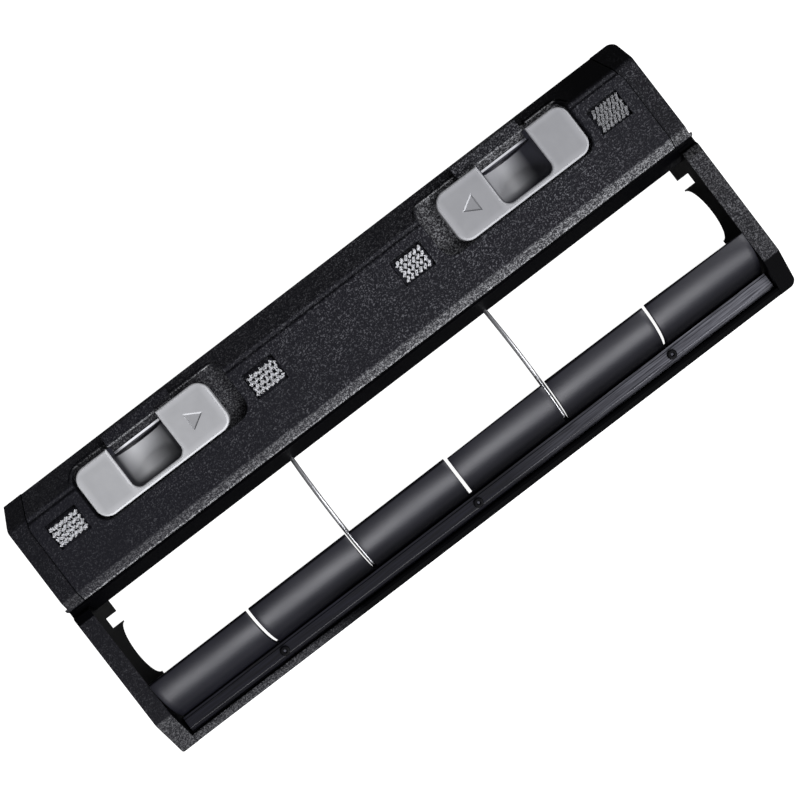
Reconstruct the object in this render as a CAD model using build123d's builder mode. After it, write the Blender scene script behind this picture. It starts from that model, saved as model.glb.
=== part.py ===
from build123d import *

import os

# Floor-side cover of a robot vacuum cleaner's main brush, lying on its back with the floor face up.
# Millimetres. +X runs along the cover, +Y points to the latch side, +Z out of the floor face.
# The origin is the centre of the footprint, on the surface that the end walls stand on.

os.makedirs("parts", exist_ok=True)

# ---------------------------------------------------------------- driving dimensions
LENGTH = 202.9  # over the end walls
WIDTH = 79.6  # back edge to front lip
FACE_Z = 23.0  # floor face of the skid panel above the end walls' feet
END_T = 4.6  # thickness of an end wall at the brush bearing
CAP_T = 2.2  # and behind the window
RAIL_W = 5.0  # width of the rail along its top
WALL_SPLIT_Y = 8.4  # behind here the end walls step inward
WALL_STEP = 0.7
RAIL_STEP_Y = 6.7  # behind here the rails widen towards the skid panel
CUT_X, CUT_Y = 1.8, 6.4  # the corner that is cut off
DECK_Z = 19.6  # top of the frame's deck, which is the floor of the latch wells
DECK_T = 2.0
SKIRT_Z = 5.0  # lower edge of the back wall and of the front skirt

HALF = LENGTH / 2
INNER = HALF - RAIL_W  # inner edge of a rail
BACK_Y = WIDTH / 2
FRONT_Y = -WIDTH / 2
UNDER_Z = DECK_Z - DECK_T

# ribs across the underside of the deck
RIB_XS = (-82.0, -29.0, -16.0, 0.0, 16.0, 29.0, 82.0)
RIB_Y, RIB_L, RIB_T, RIB_H = 21.6, 27.6, 1.4, 6.0

# skid panel
PANEL_HALF = 95.5
CAP_INNER = PANEL_HALF + 0.4  # inner edge of the rail beside the panel
TAPER_Y, TAPER_X = 29.4, 2.4  # where its ends turn inward, and how far they do by the back edge
SLOPE_Y, SLOPE_Z = 32.9, 22.5  # where the back slope starts
SLOPE_RATE = 0.74  # fall of the back slope
SLOPE_T = 2.5  # the panel's height along its slope

# latch wells and latches, given for the +X side
TRAVEL = 5.0  # how far a latch slides towards the middle
WELL_X, WELL_Y = 55.75, 28.0
WELL_L, WELL_W, WELL_R = 48.4, 16.4, 3.8
PLATE_X, PLATE_Y = 58.1, 27.6
PLATE_L, PLATE_W, PLATE_R = 41.8, 14.6, 3.6
SLIDE_GAP = 0.2  # between faces that slide on each other
BOWL_X, BOWL_R = 59.7, 7.9  # finger bowl: a half pipe across the latch
BOWL_Y, BOWL_END_R = 21.7, 2.4  # its closed front end, and the rounding there
STEM_L, STEM_Z = 18.2, 13.2
STEM_Y0, STEM_Y1 = 20.9, 33.4
STEM_SLOT_DEPTH = 5.0
KEEPER_T = 1.4
GUIDE_YS, GUIDE_L, GUIDE_T = (19.4, 34.9), 34.0, 1.2  # rails that guide the keepers
HOOK_X = 69.2  # the keeper's hook leg
SCREW_XS = (52.2, 67.2)  # keeper screws

# latch springs
SPRING_Y, SPRING_Z = 27.2, 15.4
SPRING_R, SPRING_WIRE_R = 1.65, 0.22
SPRING_TURNS = 8
SEAT_X = 40.0  # face of the seat that the spring pushes on
STEM_FACE_X = BOWL_X - STEM_L / 2
PEG_R, PEG_L = 1.0, 1.5

# brush window, bearing saddles and guard wires
SADDLE_Y, SADDLE_R = -11.6, 8.5
SLOT_Y, SLOT_W, SLOT_Z = -1.1, 3.2, 12.2
WIRE_X, WIRE_R = 31.9, 0.6
WIRE_POINTS = ((9.4, 12.0), (-10.0, 17.8), (-34.6, 8.7))  # y, z of its ends and its crown
WIRE_BLOCK_L = 5.0  # the blocks that hold the wires, along the cover
WIRE_BLOCKS = ((8.6, 14.2, 5.6, 7.0), (-34.0, 9.2, 4.2, 3.4))  # y, z, width and height
NOSE_Y, NOSE_Z = 3.7, 14.0  # lower edge of the lip along the window

# scraper and its retainer
ARC_R, SCRAPER_T = 13.2, 1.2
ARC_Y, ARC_Z = -20.1, 8.2  # centre of the scraper's arc
SCRAPER_HALF = INNER - 0.4
FLANGE_Y = -36.6  # front edge of the scraper's flange
SLITS = ((-64.2, 1.1), (-WIRE_X, 1.7), (0.0, 1.1), (WIRE_X, 1.7), (64.2, 1.1))  # x and width
SLIT_Y, SLIT_L = -25.4, 14.2
BAR_Y = -32.9  # inner edge of the front bar
CHANNEL_Y = -37.4  # front wall of the channel
CHANNEL_Z = 11.6  # its floor, which the scraper's flange lies on
LIP_Z = 15.4
RETAINER_HALF, RETAINER_T = 96.1, 1.6
RIVETS = [(x, -34.8) for x in (-64.0, 0.0, 64.0)]
RIVET_R, RIVET_HEAD_R, RIVET_HEAD_T = 1.05, 1.35, 0.5

# pile pads
PADS = ((-87.2, 24.9), (-23.8, 24.9), (23.8, 24.9), (87.2, 24.9))
POCKET_L, POCKET_W, POCKET_DEPTH = 9.6, 7.6, 1.4
PILE_Z = 23.8

PANEL_SCREWS = [(side * x, y) for side in (-1, 1) for x, y in ((9.5, 29.0), (44.0, 13.8), (88.0, 13.8))]
PANEL_SCREW_R, PANEL_SCREW_HEAD_R, PANEL_SCREW_HEAD_T = 1.25, 2.3, 1.6
PANEL_BITE = 2.2  # how far they reach into the panel
KEEPER_SCREW_R, KEEPER_SCREW_HEAD_R, KEEPER_SCREW_L = 0.95, 1.7, 3.6


def save(part, name):
    """Labels a finished piece and writes its STEP file."""
    part.label = name
    export_step(part, f"parts/{name}.step")


def save_pair(part, name):
    """Writes a piece of the +X side, and its mirror image for the other side."""
    save(mirror(part, about=Plane.YZ), f"{name}_left")
    save(part, f"{name}_right")


def slope_at(y, drop=0.0):
    """Height of the back slope at y, or of the plane that lies drop below it."""
    return SLOPE_Z - drop - SLOPE_RATE * (y - SLOPE_Y)


def outline(*corners):
    """A closed (y, z) outline through corners, each of which may carry a radius as a third value."""
    with BuildSketch() as drawn:
        with BuildLine():
            Polyline(*[corner[:2] for corner in corners], close=True)
        make_face()
        for y, z, radius in [corner for corner in corners if len(corner) == 3]:
            fillet(drawn.vertices().sort_by_distance((y, z, 0))[0], radius)
    return drawn.sketch


def both_sides(x, *ys):
    """Places at x and -x, at each y."""
    return [(side * x, y) for side in (-1, 1) for y in ys]


# ---------------------------------------------------------------- frame
DECK_EDGE_Y = SLOPE_Y + (SLOPE_Z - SLOPE_T - DECK_Z) / SLOPE_RATE
RAIL_TOP = [
    (BACK_Y, slope_at(BACK_Y, 0.3), 0.6),
    (SLOPE_Y, slope_at(SLOPE_Y, 0.3), 1.0),
    (10.3, FACE_Z - 0.6, 0.8),
    (7.6, 21.2, 0.4),
    (7.2, 19.4),
    (5.8, 19.4),
    (5.2, 20.2, 0.3),
    (-29.5, 19.7, 1.5),
    (FRONT_Y, 14.8, 0.6),
]
WALL_FOOT = [(FRONT_Y, 7.5), (-33.0, 5.5), (-24.5, 0.0), (15.0, 0.0), (24.0, SKIRT_Z), (BACK_Y, SKIRT_Z)]
RAIL_UNDER = [(FRONT_Y, 13.0), (-29.5, 18.2), (4.0, 18.9), (9.0, UNDER_Z), (32.0, UNDER_Z), (BACK_Y, 14.0)]
end_wall = outline(*RAIL_TOP, *WALL_FOOT)
rail = outline(*RAIL_TOP, *RAIL_UNDER)

BACK_T = 1.8
rear_beam = outline(
    (7.4, 20.4, 0.2),
    (6.8, 20.4, 0.2),
    (NOSE_Y, NOSE_Z, 0.5),
    (5.5, 13.2),
    (8.8, UNDER_Z),
    (DECK_EDGE_Y - 1.0, UNDER_Z),
    (BACK_Y - BACK_T, slope_at(BACK_Y, SLOPE_T + 0.8)),
    (BACK_Y - BACK_T, SKIRT_Z),
    (BACK_Y, SKIRT_Z),
    (BACK_Y, slope_at(BACK_Y, SLOPE_T)),
    (DECK_EDGE_Y, DECK_Z),
    (7.4, DECK_Z),
)
BAR_T = 2.2
front_bar = outline(
    (BAR_Y, CHANNEL_Z),
    (CHANNEL_Y, CHANNEL_Z),
    (CHANNEL_Y, LIP_Z, 0.3),
    (-38.4, LIP_Z, 0.4),
    (FRONT_Y, 14.2, 0.5),
    (FRONT_Y, SKIRT_Z),
    (FRONT_Y + BACK_T, SKIRT_Z),
    (FRONT_Y + BACK_T, CHANNEL_Z - BAR_T),
    (BAR_Y, CHANNEL_Z - BAR_T),
)
HOOK_XS, HOOK_L = (-62.0, 0.0, 62.0), 12.0
hook = outline(
    (-37.6, 10.0), (-37.6, 3.8), (-39.3, 3.0, 0.3), (-38.4, 1.0), (-36.6, 1.0, 0.4), (-36.6, 10.0)
)


def wire_path(x):
    """A guard wire's centre line, arched over the brush."""
    rear, crown, front = WIRE_POINTS
    return ThreePointArc((x, *rear), (x, *crown), (x, *front))


def wall_part(outer_x, thickness, y0, y1):
    """The end wall of the +X side between y0 and y1, with its upper outer edge rounded."""
    with BuildPart() as wall:
        with BuildSketch(Plane.YZ.offset(outer_x)):
            add(end_wall)
            with Locations(((y0 + y1) / 2, FACE_Z / 2)):
                Rectangle(y1 - y0, 2 * FACE_Z, mode=Mode.INTERSECT)
        extrude(amount=-thickness)
        outer_face = wall.faces().sort_by(Axis.X)[-1]
        fillet(outer_face.edges().filter_by(lambda e: e.center().Z > 11.5), 0.35)
    return wall.part


low_wall = wall_part(HALF, END_T, FRONT_Y - 1.0, WALL_SPLIT_Y)
high_wall = wall_part(HALF - WALL_STEP, CAP_T, WALL_SPLIT_Y, BACK_Y + 1.0)

# the rail that widens the top of an end wall and follows the skid panel's tapering end
with BuildPart() as rail_top:
    with BuildSketch(Plane.YZ.offset(HALF - CAP_T)):
        add(rail)
    extrude(amount=CAP_INNER - TAPER_X - HALF + CAP_T)
    with BuildSketch():
        with BuildLine():
            Polyline(
                (HALF, FRONT_Y),
                (INNER, FRONT_Y),
                (INNER, RAIL_STEP_Y),
                (CAP_INNER, RAIL_STEP_Y),
                (CAP_INNER, TAPER_Y),
                (CAP_INNER - TAPER_X, BACK_Y),
                (HALF, BACK_Y),
                close=True,
            )
        make_face()
    extrude(amount=FACE_Z, mode=Mode.INTERSECT)

with BuildPart() as frame:
    # end walls, each with a saddle for the brush bearing and a locating slot, under a wider rail
    for half in (low_wall, high_wall, rail_top.part):
        add(half)
        add(mirror(half, about=Plane.YZ, mode=Mode.PRIVATE))
    for side in (-1, 1):
        with BuildSketch(Plane.YZ.offset(side * HALF)):
            with Locations((SADDLE_Y, 0)):
                Circle(SADDLE_R)
            with Locations((SLOT_Y, SLOT_Z / 2)):
                Rectangle(SLOT_W, SLOT_Z)
        extrude(amount=-side * END_T, mode=Mode.SUBTRACT)
    # rear beam with the window's lip, the deck and the back wall; front bar with channel and lip
    with BuildSketch(Plane.YZ.offset(-HALF + CAP_T)):
        add(rear_beam)
        add(front_bar)
    extrude(amount=2 * (HALF - CAP_T))
    # well floors, carried on over the deck's sloping edge
    with BuildSketch(Plane.XY.offset(DECK_Z)):
        with Locations(*both_sides(WELL_X, WELL_Y)):
            RectangleRounded(WELL_L - 0.1, WELL_W - 0.1, WELL_R)
    extrude(amount=-DECK_T)
    # rails under the wells that guide the keepers
    with BuildSketch(Plane.XY.offset(UNDER_Z + 0.1)):
        with Locations(*both_sides(60.0, *GUIDE_YS)):
            Rectangle(GUIDE_L, GUIDE_T)
    extrude(amount=STEM_Z + SLIDE_GAP - UNDER_Z - 0.1)
    # stiffening ribs across the underside
    with BuildSketch(Plane.XY.offset(UNDER_Z + 0.1)):
        with Locations(*[(x, RIB_Y) for x in RIB_XS]):
            Rectangle(RIB_T, RIB_L)
    extrude(amount=-RIB_H)
    # blocks that hold the guard wires' ends
    for y, z, width, height in WIRE_BLOCKS:
        with Locations((-WIRE_X, y, z), (WIRE_X, y, z)):
            Box(WIRE_BLOCK_L, width, height)
    # spring seats, each with a peg
    for side in (-1, 1):
        with BuildSketch(Plane.YZ.offset(side * SEAT_X)):
            with Locations((SPRING_Y, (UNDER_Z + STEM_Z) / 2)):
                Rectangle(8.0, UNDER_Z - STEM_Z)
        extrude(amount=-side * 1.6)
        with BuildSketch(Plane.YZ.offset(side * SEAT_X)):
            with Locations((SPRING_Y, SPRING_Z)):
                Circle(PEG_R)
        extrude(amount=side * PEG_L)
    # hooks below the front skirt
    for x in HOOK_XS:
        with BuildSketch(Plane.YZ.offset(x - HOOK_L / 2)):
            add(hook)
        extrude(amount=HOOK_L)
    # slots that the latches' stems slide in
    with BuildSketch(Plane.XY.offset(DECK_Z)):
        with Locations(*both_sides(BOWL_X - TRAVEL / 2, (STEM_Y0 + STEM_Y1) / 2)):
            Rectangle(STEM_L + TRAVEL + 1.0, STEM_Y1 - STEM_Y0 + 2 * SLIDE_GAP)
    extrude(amount=-STEM_SLOT_DEPTH, mode=Mode.SUBTRACT)
    # holes for the panel's screws and the retainer's rivets
    with BuildSketch(Plane.XY.offset(DECK_Z)):
        with Locations(*PANEL_SCREWS):
            Circle(PANEL_SCREW_R + 0.15)
    extrude(amount=-DECK_T, mode=Mode.SUBTRACT)
    with BuildSketch(Plane.XY.offset(CHANNEL_Z)):
        with Locations(*RIVETS):
            Circle(RIVET_R + 0.1)
    extrude(amount=-BAR_T, mode=Mode.SUBTRACT)
    # holes that the guard wires are pressed into
    for side in (-1, 1):
        with BuildLine() as hole_line:
            add(wire_path(side * WIRE_X))
        with BuildSketch(Plane(hole_line.line @ 0, z_dir=hole_line.line % 0)):
            Circle(WIRE_R)
        sweep(path=hole_line.line, mode=Mode.SUBTRACT)
    # plan corners: three rounded, one cut off
    for x, y, radius in ((HALF, FRONT_Y, 2.2), (HALF - WALL_STEP, BACK_Y, 2.4), (-HALF, FRONT_Y, 0.8)):
        inward_x, inward_y = (-radius if x > 0 else radius), (-radius if y > 0 else radius)
        with BuildSketch():
            with Locations((x + inward_x / 2, y + inward_y / 2)):
                Rectangle(radius, radius)
            with Locations((x + inward_x, y + inward_y)):
                Circle(radius, mode=Mode.SUBTRACT)
        extrude(amount=FACE_Z, mode=Mode.SUBTRACT)
    corner_x = -HALF + WALL_STEP
    with BuildSketch():
        with BuildLine():
            Polyline((corner_x, BACK_Y - CUT_Y), (corner_x, BACK_Y), (corner_x + CUT_X, BACK_Y), close=True)
        make_face()
    extrude(amount=FACE_Z, mode=Mode.SUBTRACT)

save(frame.part, "frame")

# ---------------------------------------------------------------- skid panel
panel_profile = outline(
    (7.6, DECK_Z),
    (7.6, 21.2, 0.4),
    (10.2, FACE_Z, 0.5),
    (31.3, FACE_Z, 0.4),
    (31.9, 22.3),
    (SLOPE_Y, SLOPE_Z, 0.6),
    (BACK_Y - 0.2, slope_at(BACK_Y - 0.2), 0.5),
    (BACK_Y - 0.2, slope_at(BACK_Y - 0.2, SLOPE_T)),
    (DECK_EDGE_Y, DECK_Z),
)
block_profile = outline(
    (35.1, DECK_Z), (35.1, 21.5, 0.3), (38.7, 20.6, 0.5), (38.7, 17.5), (36.4, 18.6), (36.4, DECK_Z)
)
BLOCK_X, BLOCK_L = 56.7, 20.8
NOTCH_X, NOTCH_W = 68.1, 2.0
GROOVE_IN, GROOVE_W, GROOVE_DEPTH = 0.6, 0.5, 0.35  # fine groove round the back of each well
GROOVE_Y = 33.6  # where it fades into the slope


def well_mouth(point):
    """Whether a point lies on the upper rim of a latch well."""
    across, along = abs(abs(point.X) - WELL_X), abs(point.Y - WELL_Y)
    inside = across < WELL_L / 2 + 0.01 and along < WELL_W / 2 + 0.01
    near_wall = across > WELL_L / 2 - WELL_R or along > WELL_W / 2 - WELL_R
    return inside and near_wall and point.Z > DECK_Z + 0.3


with BuildPart() as well_grooves:
    with BuildSketch():
        for rim, mode in ((GROOVE_IN + GROOVE_W, Mode.ADD), (GROOVE_IN, Mode.SUBTRACT)):
            with Locations(*both_sides(WELL_X, WELL_Y)):
                RectangleRounded(WELL_L + 2 * rim, WELL_W + 2 * rim, WELL_R + rim, mode=mode)
    extrude(amount=FACE_Z)
    with BuildSketch(Plane.YZ.offset(-HALF)):
        add(
            outline(
                (GROOVE_Y, slope_at(GROOVE_Y)),
                (GROOVE_Y + 0.6, slope_at(GROOVE_Y + 0.6, GROOVE_DEPTH)),
                (BACK_Y, slope_at(BACK_Y, GROOVE_DEPTH)),
                (BACK_Y, FACE_Z),
                (GROOVE_Y, FACE_Z),
            )
        )
    extrude(amount=LENGTH, mode=Mode.INTERSECT)

with BuildPart() as skid_panel:
    with BuildSketch(Plane.YZ.offset(-PANEL_HALF)):
        add(panel_profile)
    extrude(amount=2 * PANEL_HALF)
    # its ends taper along the back slope
    for side in (-1, 1):
        with BuildSketch():
            with BuildLine():
                Polyline(
                    (side * PANEL_HALF, TAPER_Y),
                    (side * (PANEL_HALF - TAPER_X), BACK_Y),
                    (side * HALF, BACK_Y),
                    (side * HALF, TAPER_Y),
                    close=True,
                )
            make_face()
        extrude(amount=FACE_Z, mode=Mode.SUBTRACT)
    # wells for the latches
    with BuildSketch(Plane.XY.offset(FACE_Z)):
        with Locations(*both_sides(WELL_X, WELL_Y)):
            RectangleRounded(WELL_L, WELL_W, WELL_R)
    extrude(amount=-8.0, mode=Mode.SUBTRACT)
    # fine bevel round the wells' mouths
    mouths = skid_panel.edges().filter_by(lambda e: well_mouth(e.center()))
    chamfer(mouths, 0.25)
    add(well_grooves.part, mode=Mode.SUBTRACT)
    # raised block behind each finger bowl, and a notch beside it
    for side in (-1, 1):
        with BuildSketch(Plane.YZ.offset(side * BLOCK_X - BLOCK_L / 2)):
            add(block_profile)
        extrude(amount=BLOCK_L)
    with BuildSketch(Plane.XY.offset(FACE_Z)):
        with Locations(*both_sides(NOTCH_X, 37.2)):
            Rectangle(NOTCH_W, 3.2)
    extrude(amount=-4.4, mode=Mode.SUBTRACT)
    # pockets for the pile pads
    with BuildSketch(Plane.XY.offset(FACE_Z)):
        with Locations(*PADS):
            Rectangle(POCKET_L, POCKET_W)
    extrude(amount=-POCKET_DEPTH, mode=Mode.SUBTRACT)
    # shallow pockets underneath that thin the wall between the screws
    with BuildSketch(Plane.XY.offset(DECK_Z)):
        with Locations(*both_sides(26.0, 13.8), *both_sides(66.0, 13.8)):
            Rectangle(26.0, 6.0)
    extrude(amount=1.0, mode=Mode.SUBTRACT)
    # blind holes for the screws
    with BuildSketch(Plane.XY.offset(DECK_Z)):
        with Locations(*PANEL_SCREWS):
            Circle(PANEL_SCREW_R + 0.05)
    extrude(amount=PANEL_BITE + 0.1, mode=Mode.SUBTRACT)

save(skid_panel.part, "skid_panel")

# ---------------------------------------------------------------- pile pads
PAD_BASE_T = 0.5
for number, (x, y) in enumerate(PADS, start=1):
    with BuildPart() as pile_pad:
        with BuildSketch(Plane.XY.offset(FACE_Z - POCKET_DEPTH)):
            with Locations((x, y - 0.3)):
                Rectangle(POCKET_L - 0.4, POCKET_W - 0.8)
        extrude(amount=PAD_BASE_T)
        with BuildSketch(Plane.XY.offset(FACE_Z - POCKET_DEPTH + PAD_BASE_T)):
            with Locations((x, y - 0.2)):
                Rectangle(POCKET_L - 0.8, POCKET_W - 1.0)
        extrude(amount=PILE_Z - FACE_Z + POCKET_DEPTH - PAD_BASE_T)
        fillet(pile_pad.edges().group_by(Axis.Z)[-1], 0.4)
    save(pile_pad.part, f"pile_pad_{number}")

# ---------------------------------------------------------------- latches
ARROW = [(41.9, 27.5), (46.5, 30.2), (46.5, 24.8)]
ARROW_DEPTH, ARROW_TAPER = 0.35, 45.0
RIM_R = 0.6  # rounding of the plate's rim
RIB_Z = 19.6  # top of the rib behind the finger bowl

with BuildPart() as latch:
    with BuildSketch(Plane.XY.offset(DECK_Z + SLIDE_GAP)):
        with Locations((PLATE_X, PLATE_Y)):
            RectangleRounded(PLATE_L, PLATE_W, PLATE_R)
    extrude(amount=FACE_Z - DECK_Z - SLIDE_GAP)
    with BuildSketch(Plane.XY.offset(STEM_Z)):
        with Locations((BOWL_X, (STEM_Y0 + STEM_Y1) / 2)):
            Rectangle(STEM_L, STEM_Y1 - STEM_Y0)
    extrude(amount=FACE_Z - STEM_Z)
    # finger bowl, open at the back, with a soft edge at its closed end
    with BuildSketch(Plane.XZ.offset(-BOWL_Y)):
        with Locations((BOWL_X, FACE_Z)):
            Circle(BOWL_R)
    extrude(amount=-20.0, mode=Mode.SUBTRACT)
    floor_end = latch.edges().filter_by(GeomType.CIRCLE).filter_by_position(Axis.Y, BOWL_Y, BOWL_Y)
    fillet(floor_end, BOWL_END_R)
    # groove behind the bowl, which leaves a rib at the stem's back
    with BuildSketch(Plane.XZ.offset(-32.2)):
        with Locations((BOWL_X, FACE_Z)):
            Circle(BOWL_R + 0.7)
            Rectangle(2 * BOWL_R + 2.0, 5.0, mode=Mode.SUBTRACT)
    extrude(amount=-0.5, mode=Mode.SUBTRACT)
    with BuildSketch(Plane.XZ.offset(-32.7)):
        with Locations((BOWL_X, (RIB_Z + STEM_Z) / 2)):
            Rectangle(STEM_L - 2.0, RIB_Z - STEM_Z)
    extrude(amount=-(STEM_Y1 - 32.7))
    # arrow sunk into the inner lobe
    with BuildSketch(Plane.XY.offset(FACE_Z)):
        with BuildLine():
            Polyline(*ARROW, close=True)
        make_face()
    extrude(amount=-ARROW_DEPTH, taper=ARROW_TAPER, mode=Mode.SUBTRACT)
    # peg inside the spring, and pilot holes for the keeper's screws
    with BuildSketch(Plane.YZ.offset(STEM_FACE_X)):
        with Locations((SPRING_Y, SPRING_Z)):
            Circle(PEG_R)
    extrude(amount=-PEG_L)
    with BuildSketch(Plane.XY.offset(STEM_Z)):
        with Locations(*[(x, SPRING_Y) for x in SCREW_XS]):
            Circle(KEEPER_SCREW_R + 0.05)
    extrude(amount=KEEPER_SCREW_L + 0.4, mode=Mode.SUBTRACT)
    # softened rim of the plate
    rim = latch.edges().filter_by_position(Axis.Z, FACE_Z, FACE_Z)
    rim = rim.filter_by(lambda e: e.center().X > 47.0 or e.center().Y > 30.5 or e.center().Y < 24.0)
    fillet(rim, RIM_R)

save_pair(latch.part, "latch")

# keeper: a plate below the guide rails with a hook that grips the cleaner's body
KEEPER_X, KEEPER_L = 59.7, 22.4
HOOK_PROFILE = [
    (HOOK_X, STEM_Z - KEEPER_T),
    (HOOK_X, 3.0),
    (HOOK_X + 1.0, 3.0),
    (HOOK_X + 3.6, 5.2),
    (HOOK_X + 3.6, 6.2),
    (HOOK_X + 1.7, 6.6),
    (HOOK_X + 1.7, STEM_Z - KEEPER_T),
]
with BuildPart() as latch_keeper:
    with BuildSketch(Plane.XY.offset(STEM_Z)):
        with Locations((KEEPER_X, SPRING_Y)):
            RectangleRounded(KEEPER_L, 16.4, 1.5)
        with Locations(*[(x, SPRING_Y) for x in SCREW_XS]):
            Circle(1.2, mode=Mode.SUBTRACT)
    extrude(amount=-KEEPER_T)
    with BuildSketch(Plane.XZ.offset(-22.2)):
        with BuildLine():
            Polyline(*HOOK_PROFILE, close=True)
        make_face()
    extrude(amount=-10.0)

save_pair(latch_keeper.part, "latch_keeper")

with BuildPart() as keeper_screws:
    with BuildSketch(Plane.XY.offset(STEM_Z + KEEPER_SCREW_L)):
        with Locations(*[(x, SPRING_Y) for x in SCREW_XS]):
            Circle(KEEPER_SCREW_R)
    extrude(amount=-(KEEPER_SCREW_L + KEEPER_T))
    with BuildSketch(Plane.XY.offset(STEM_Z - KEEPER_T)):
        with Locations(*[(x, SPRING_Y) for x in SCREW_XS]):
            Circle(KEEPER_SCREW_HEAD_R)
    extrude(amount=-1.0)
    fillet(keeper_screws.edges().group_by(Axis.Z)[0], 0.4)
    with BuildSketch(Plane.XY.offset(STEM_Z - KEEPER_T - 1.0)):
        with Locations(*[Location((x, SPRING_Y), turn) for x in SCREW_XS for turn in (0, 90)]):
            Rectangle(1.6, 0.4)
    extrude(amount=0.6, mode=Mode.SUBTRACT)

save_pair(keeper_screws.part, "keeper_screws")

# ---------------------------------------------------------------- latch springs
SPRING_X0, SPRING_X1 = SEAT_X + 0.05, STEM_FACE_X - 0.05
SPRING_L = SPRING_X1 - SPRING_X0 - 2 * SPRING_WIRE_R
with BuildPart() as latch_spring:
    with BuildLine() as coil:
        Helix(
            pitch=SPRING_L / SPRING_TURNS,
            height=SPRING_L,
            radius=SPRING_R,
            center=(SPRING_X0 + SPRING_WIRE_R, SPRING_Y, SPRING_Z),
            direction=(1, 0, 0),
        )
    with BuildSketch(Plane(coil.line @ 0, z_dir=coil.line % 0)):
        Circle(SPRING_WIRE_R)
    sweep(path=coil.line, is_frenet=True)

save_pair(latch_spring.part, "latch_spring")

# ---------------------------------------------------------------- screws that hold the panel
with BuildPart() as panel_screws:
    with BuildSketch(Plane.XY.offset(DECK_Z + PANEL_BITE)):
        with Locations(*PANEL_SCREWS):
            Circle(PANEL_SCREW_R)
    extrude(amount=-PANEL_BITE - DECK_T)
    with BuildSketch(Plane.XY.offset(UNDER_Z)):
        with Locations(*PANEL_SCREWS):
            Circle(PANEL_SCREW_HEAD_R)
    extrude(amount=-PANEL_SCREW_HEAD_T)
    fillet(panel_screws.edges().group_by(Axis.Z)[0], 0.6)
    with BuildSketch(Plane.XY.offset(UNDER_Z - PANEL_SCREW_HEAD_T)):
        with Locations(*[Location((x, y), turn) for x, y in PANEL_SCREWS for turn in (0, 90)]):
            Rectangle(2.4, 0.6)
    extrude(amount=0.9, mode=Mode.SUBTRACT)

save(panel_screws.part, "panel_screws")

# ---------------------------------------------------------------- guard wires
with BuildPart() as guard_wire:
    with BuildLine() as wire_line:
        add(wire_path(WIRE_X))
    with BuildSketch(Plane(wire_line.line @ 0, z_dir=wire_line.line % 0)):
        Circle(WIRE_R)
    sweep(path=wire_line.line)

save_pair(guard_wire.part, "guard_wire")

# ---------------------------------------------------------------- scraper strip
ROOT_ANGLE = 160.0  # where the arc meets the flange, from +Y
with BuildPart() as scraper_strip:
    with BuildSketch(Plane.YZ.offset(-SCRAPER_HALF)):
        with BuildLine():
            outer = CenterArc((ARC_Y, ARC_Z), ARC_R, 88, ROOT_ANGLE - 88)
            inner = CenterArc((ARC_Y, ARC_Z), ARC_R - SCRAPER_T, 88, ROOT_ANGLE - 88)
            Line(outer @ 0, inner @ 0)
            Line(outer @ 1, inner @ 1)
        make_face()
        with BuildLine():
            Polyline(
                inner @ 1,
                outer @ 1,
                (-33.2, CHANNEL_Z + SCRAPER_T),
                (FLANGE_Y, CHANNEL_Z + SCRAPER_T),
                (FLANGE_Y, CHANNEL_Z),
                (-32.0, CHANNEL_Z),
                close=True,
            )
        make_face()
    extrude(amount=2 * SCRAPER_HALF)
    # slits part the strip into six flaps; the two over the guard wires are wider
    for x, width in SLITS:
        with BuildSketch(Plane.XY.offset(FACE_Z)):
            with Locations((x, SLIT_Y)):
                Rectangle(width, SLIT_L)
        extrude(amount=-(FACE_Z - CHANNEL_Z - SCRAPER_T / 2), mode=Mode.SUBTRACT)
    with BuildSketch(Plane.XY.offset(CHANNEL_Z + SCRAPER_T)):
        with Locations(*RIVETS):
            Circle(RIVET_R + 0.1)
    extrude(amount=-SCRAPER_T, mode=Mode.SUBTRACT)

save(scraper_strip.part, "scraper_strip")

RETAINER_Z = CHANNEL_Z + SCRAPER_T
RETAINER_TOP = RETAINER_Z + RETAINER_T
retainer_profile = outline(
    (-37.1, RETAINER_Z),
    (-37.1, RETAINER_TOP - 0.5),
    (-36.7, RETAINER_TOP - 0.1),
    (-36.0, RETAINER_TOP - 0.1),
    (-35.8, RETAINER_TOP),
    (-33.3, RETAINER_TOP),
    (-33.1, RETAINER_TOP - 0.2),
    (-32.6, RETAINER_TOP - 0.2),
    (-32.9, RETAINER_Z),
)
with BuildPart() as scraper_retainer:
    with BuildSketch(Plane.YZ.offset(-RETAINER_HALF)):
        add(retainer_profile)
    extrude(amount=2 * RETAINER_HALF)
    with BuildSketch(Plane.XY.offset(RETAINER_Z)):
        with Locations(*RIVETS):
            Circle(RIVET_R + 0.1)
    extrude(amount=RETAINER_T, mode=Mode.SUBTRACT)

save(scraper_retainer.part, "scraper_retainer")

with BuildPart() as retainer_rivets:
    bar_under = CHANNEL_Z - BAR_T
    with BuildSketch(Plane.XY.offset(RETAINER_TOP)):
        with Locations(*RIVETS):
            Circle(RIVET_R)
    extrude(amount=bar_under - RETAINER_TOP)
    with BuildSketch(Plane.XY.offset(RETAINER_TOP)):
        with Locations(*RIVETS):
            Circle(RIVET_HEAD_R)
    extrude(amount=RIVET_HEAD_T)
    fillet(retainer_rivets.edges().group_by(Axis.Z)[-1], 0.3)
    with BuildSketch(Plane.XY.offset(bar_under)):
        with Locations(*RIVETS):
            Circle(RIVET_HEAD_R)
    extrude(amount=-RIVET_HEAD_T)

save(retainer_rivets.part, "retainer_rivets")
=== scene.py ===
"""The looks of a robot vacuum's main brush cover, lying floor face up on a pale floor."""

import math
import random

import bpy
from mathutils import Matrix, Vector, noise


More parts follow.
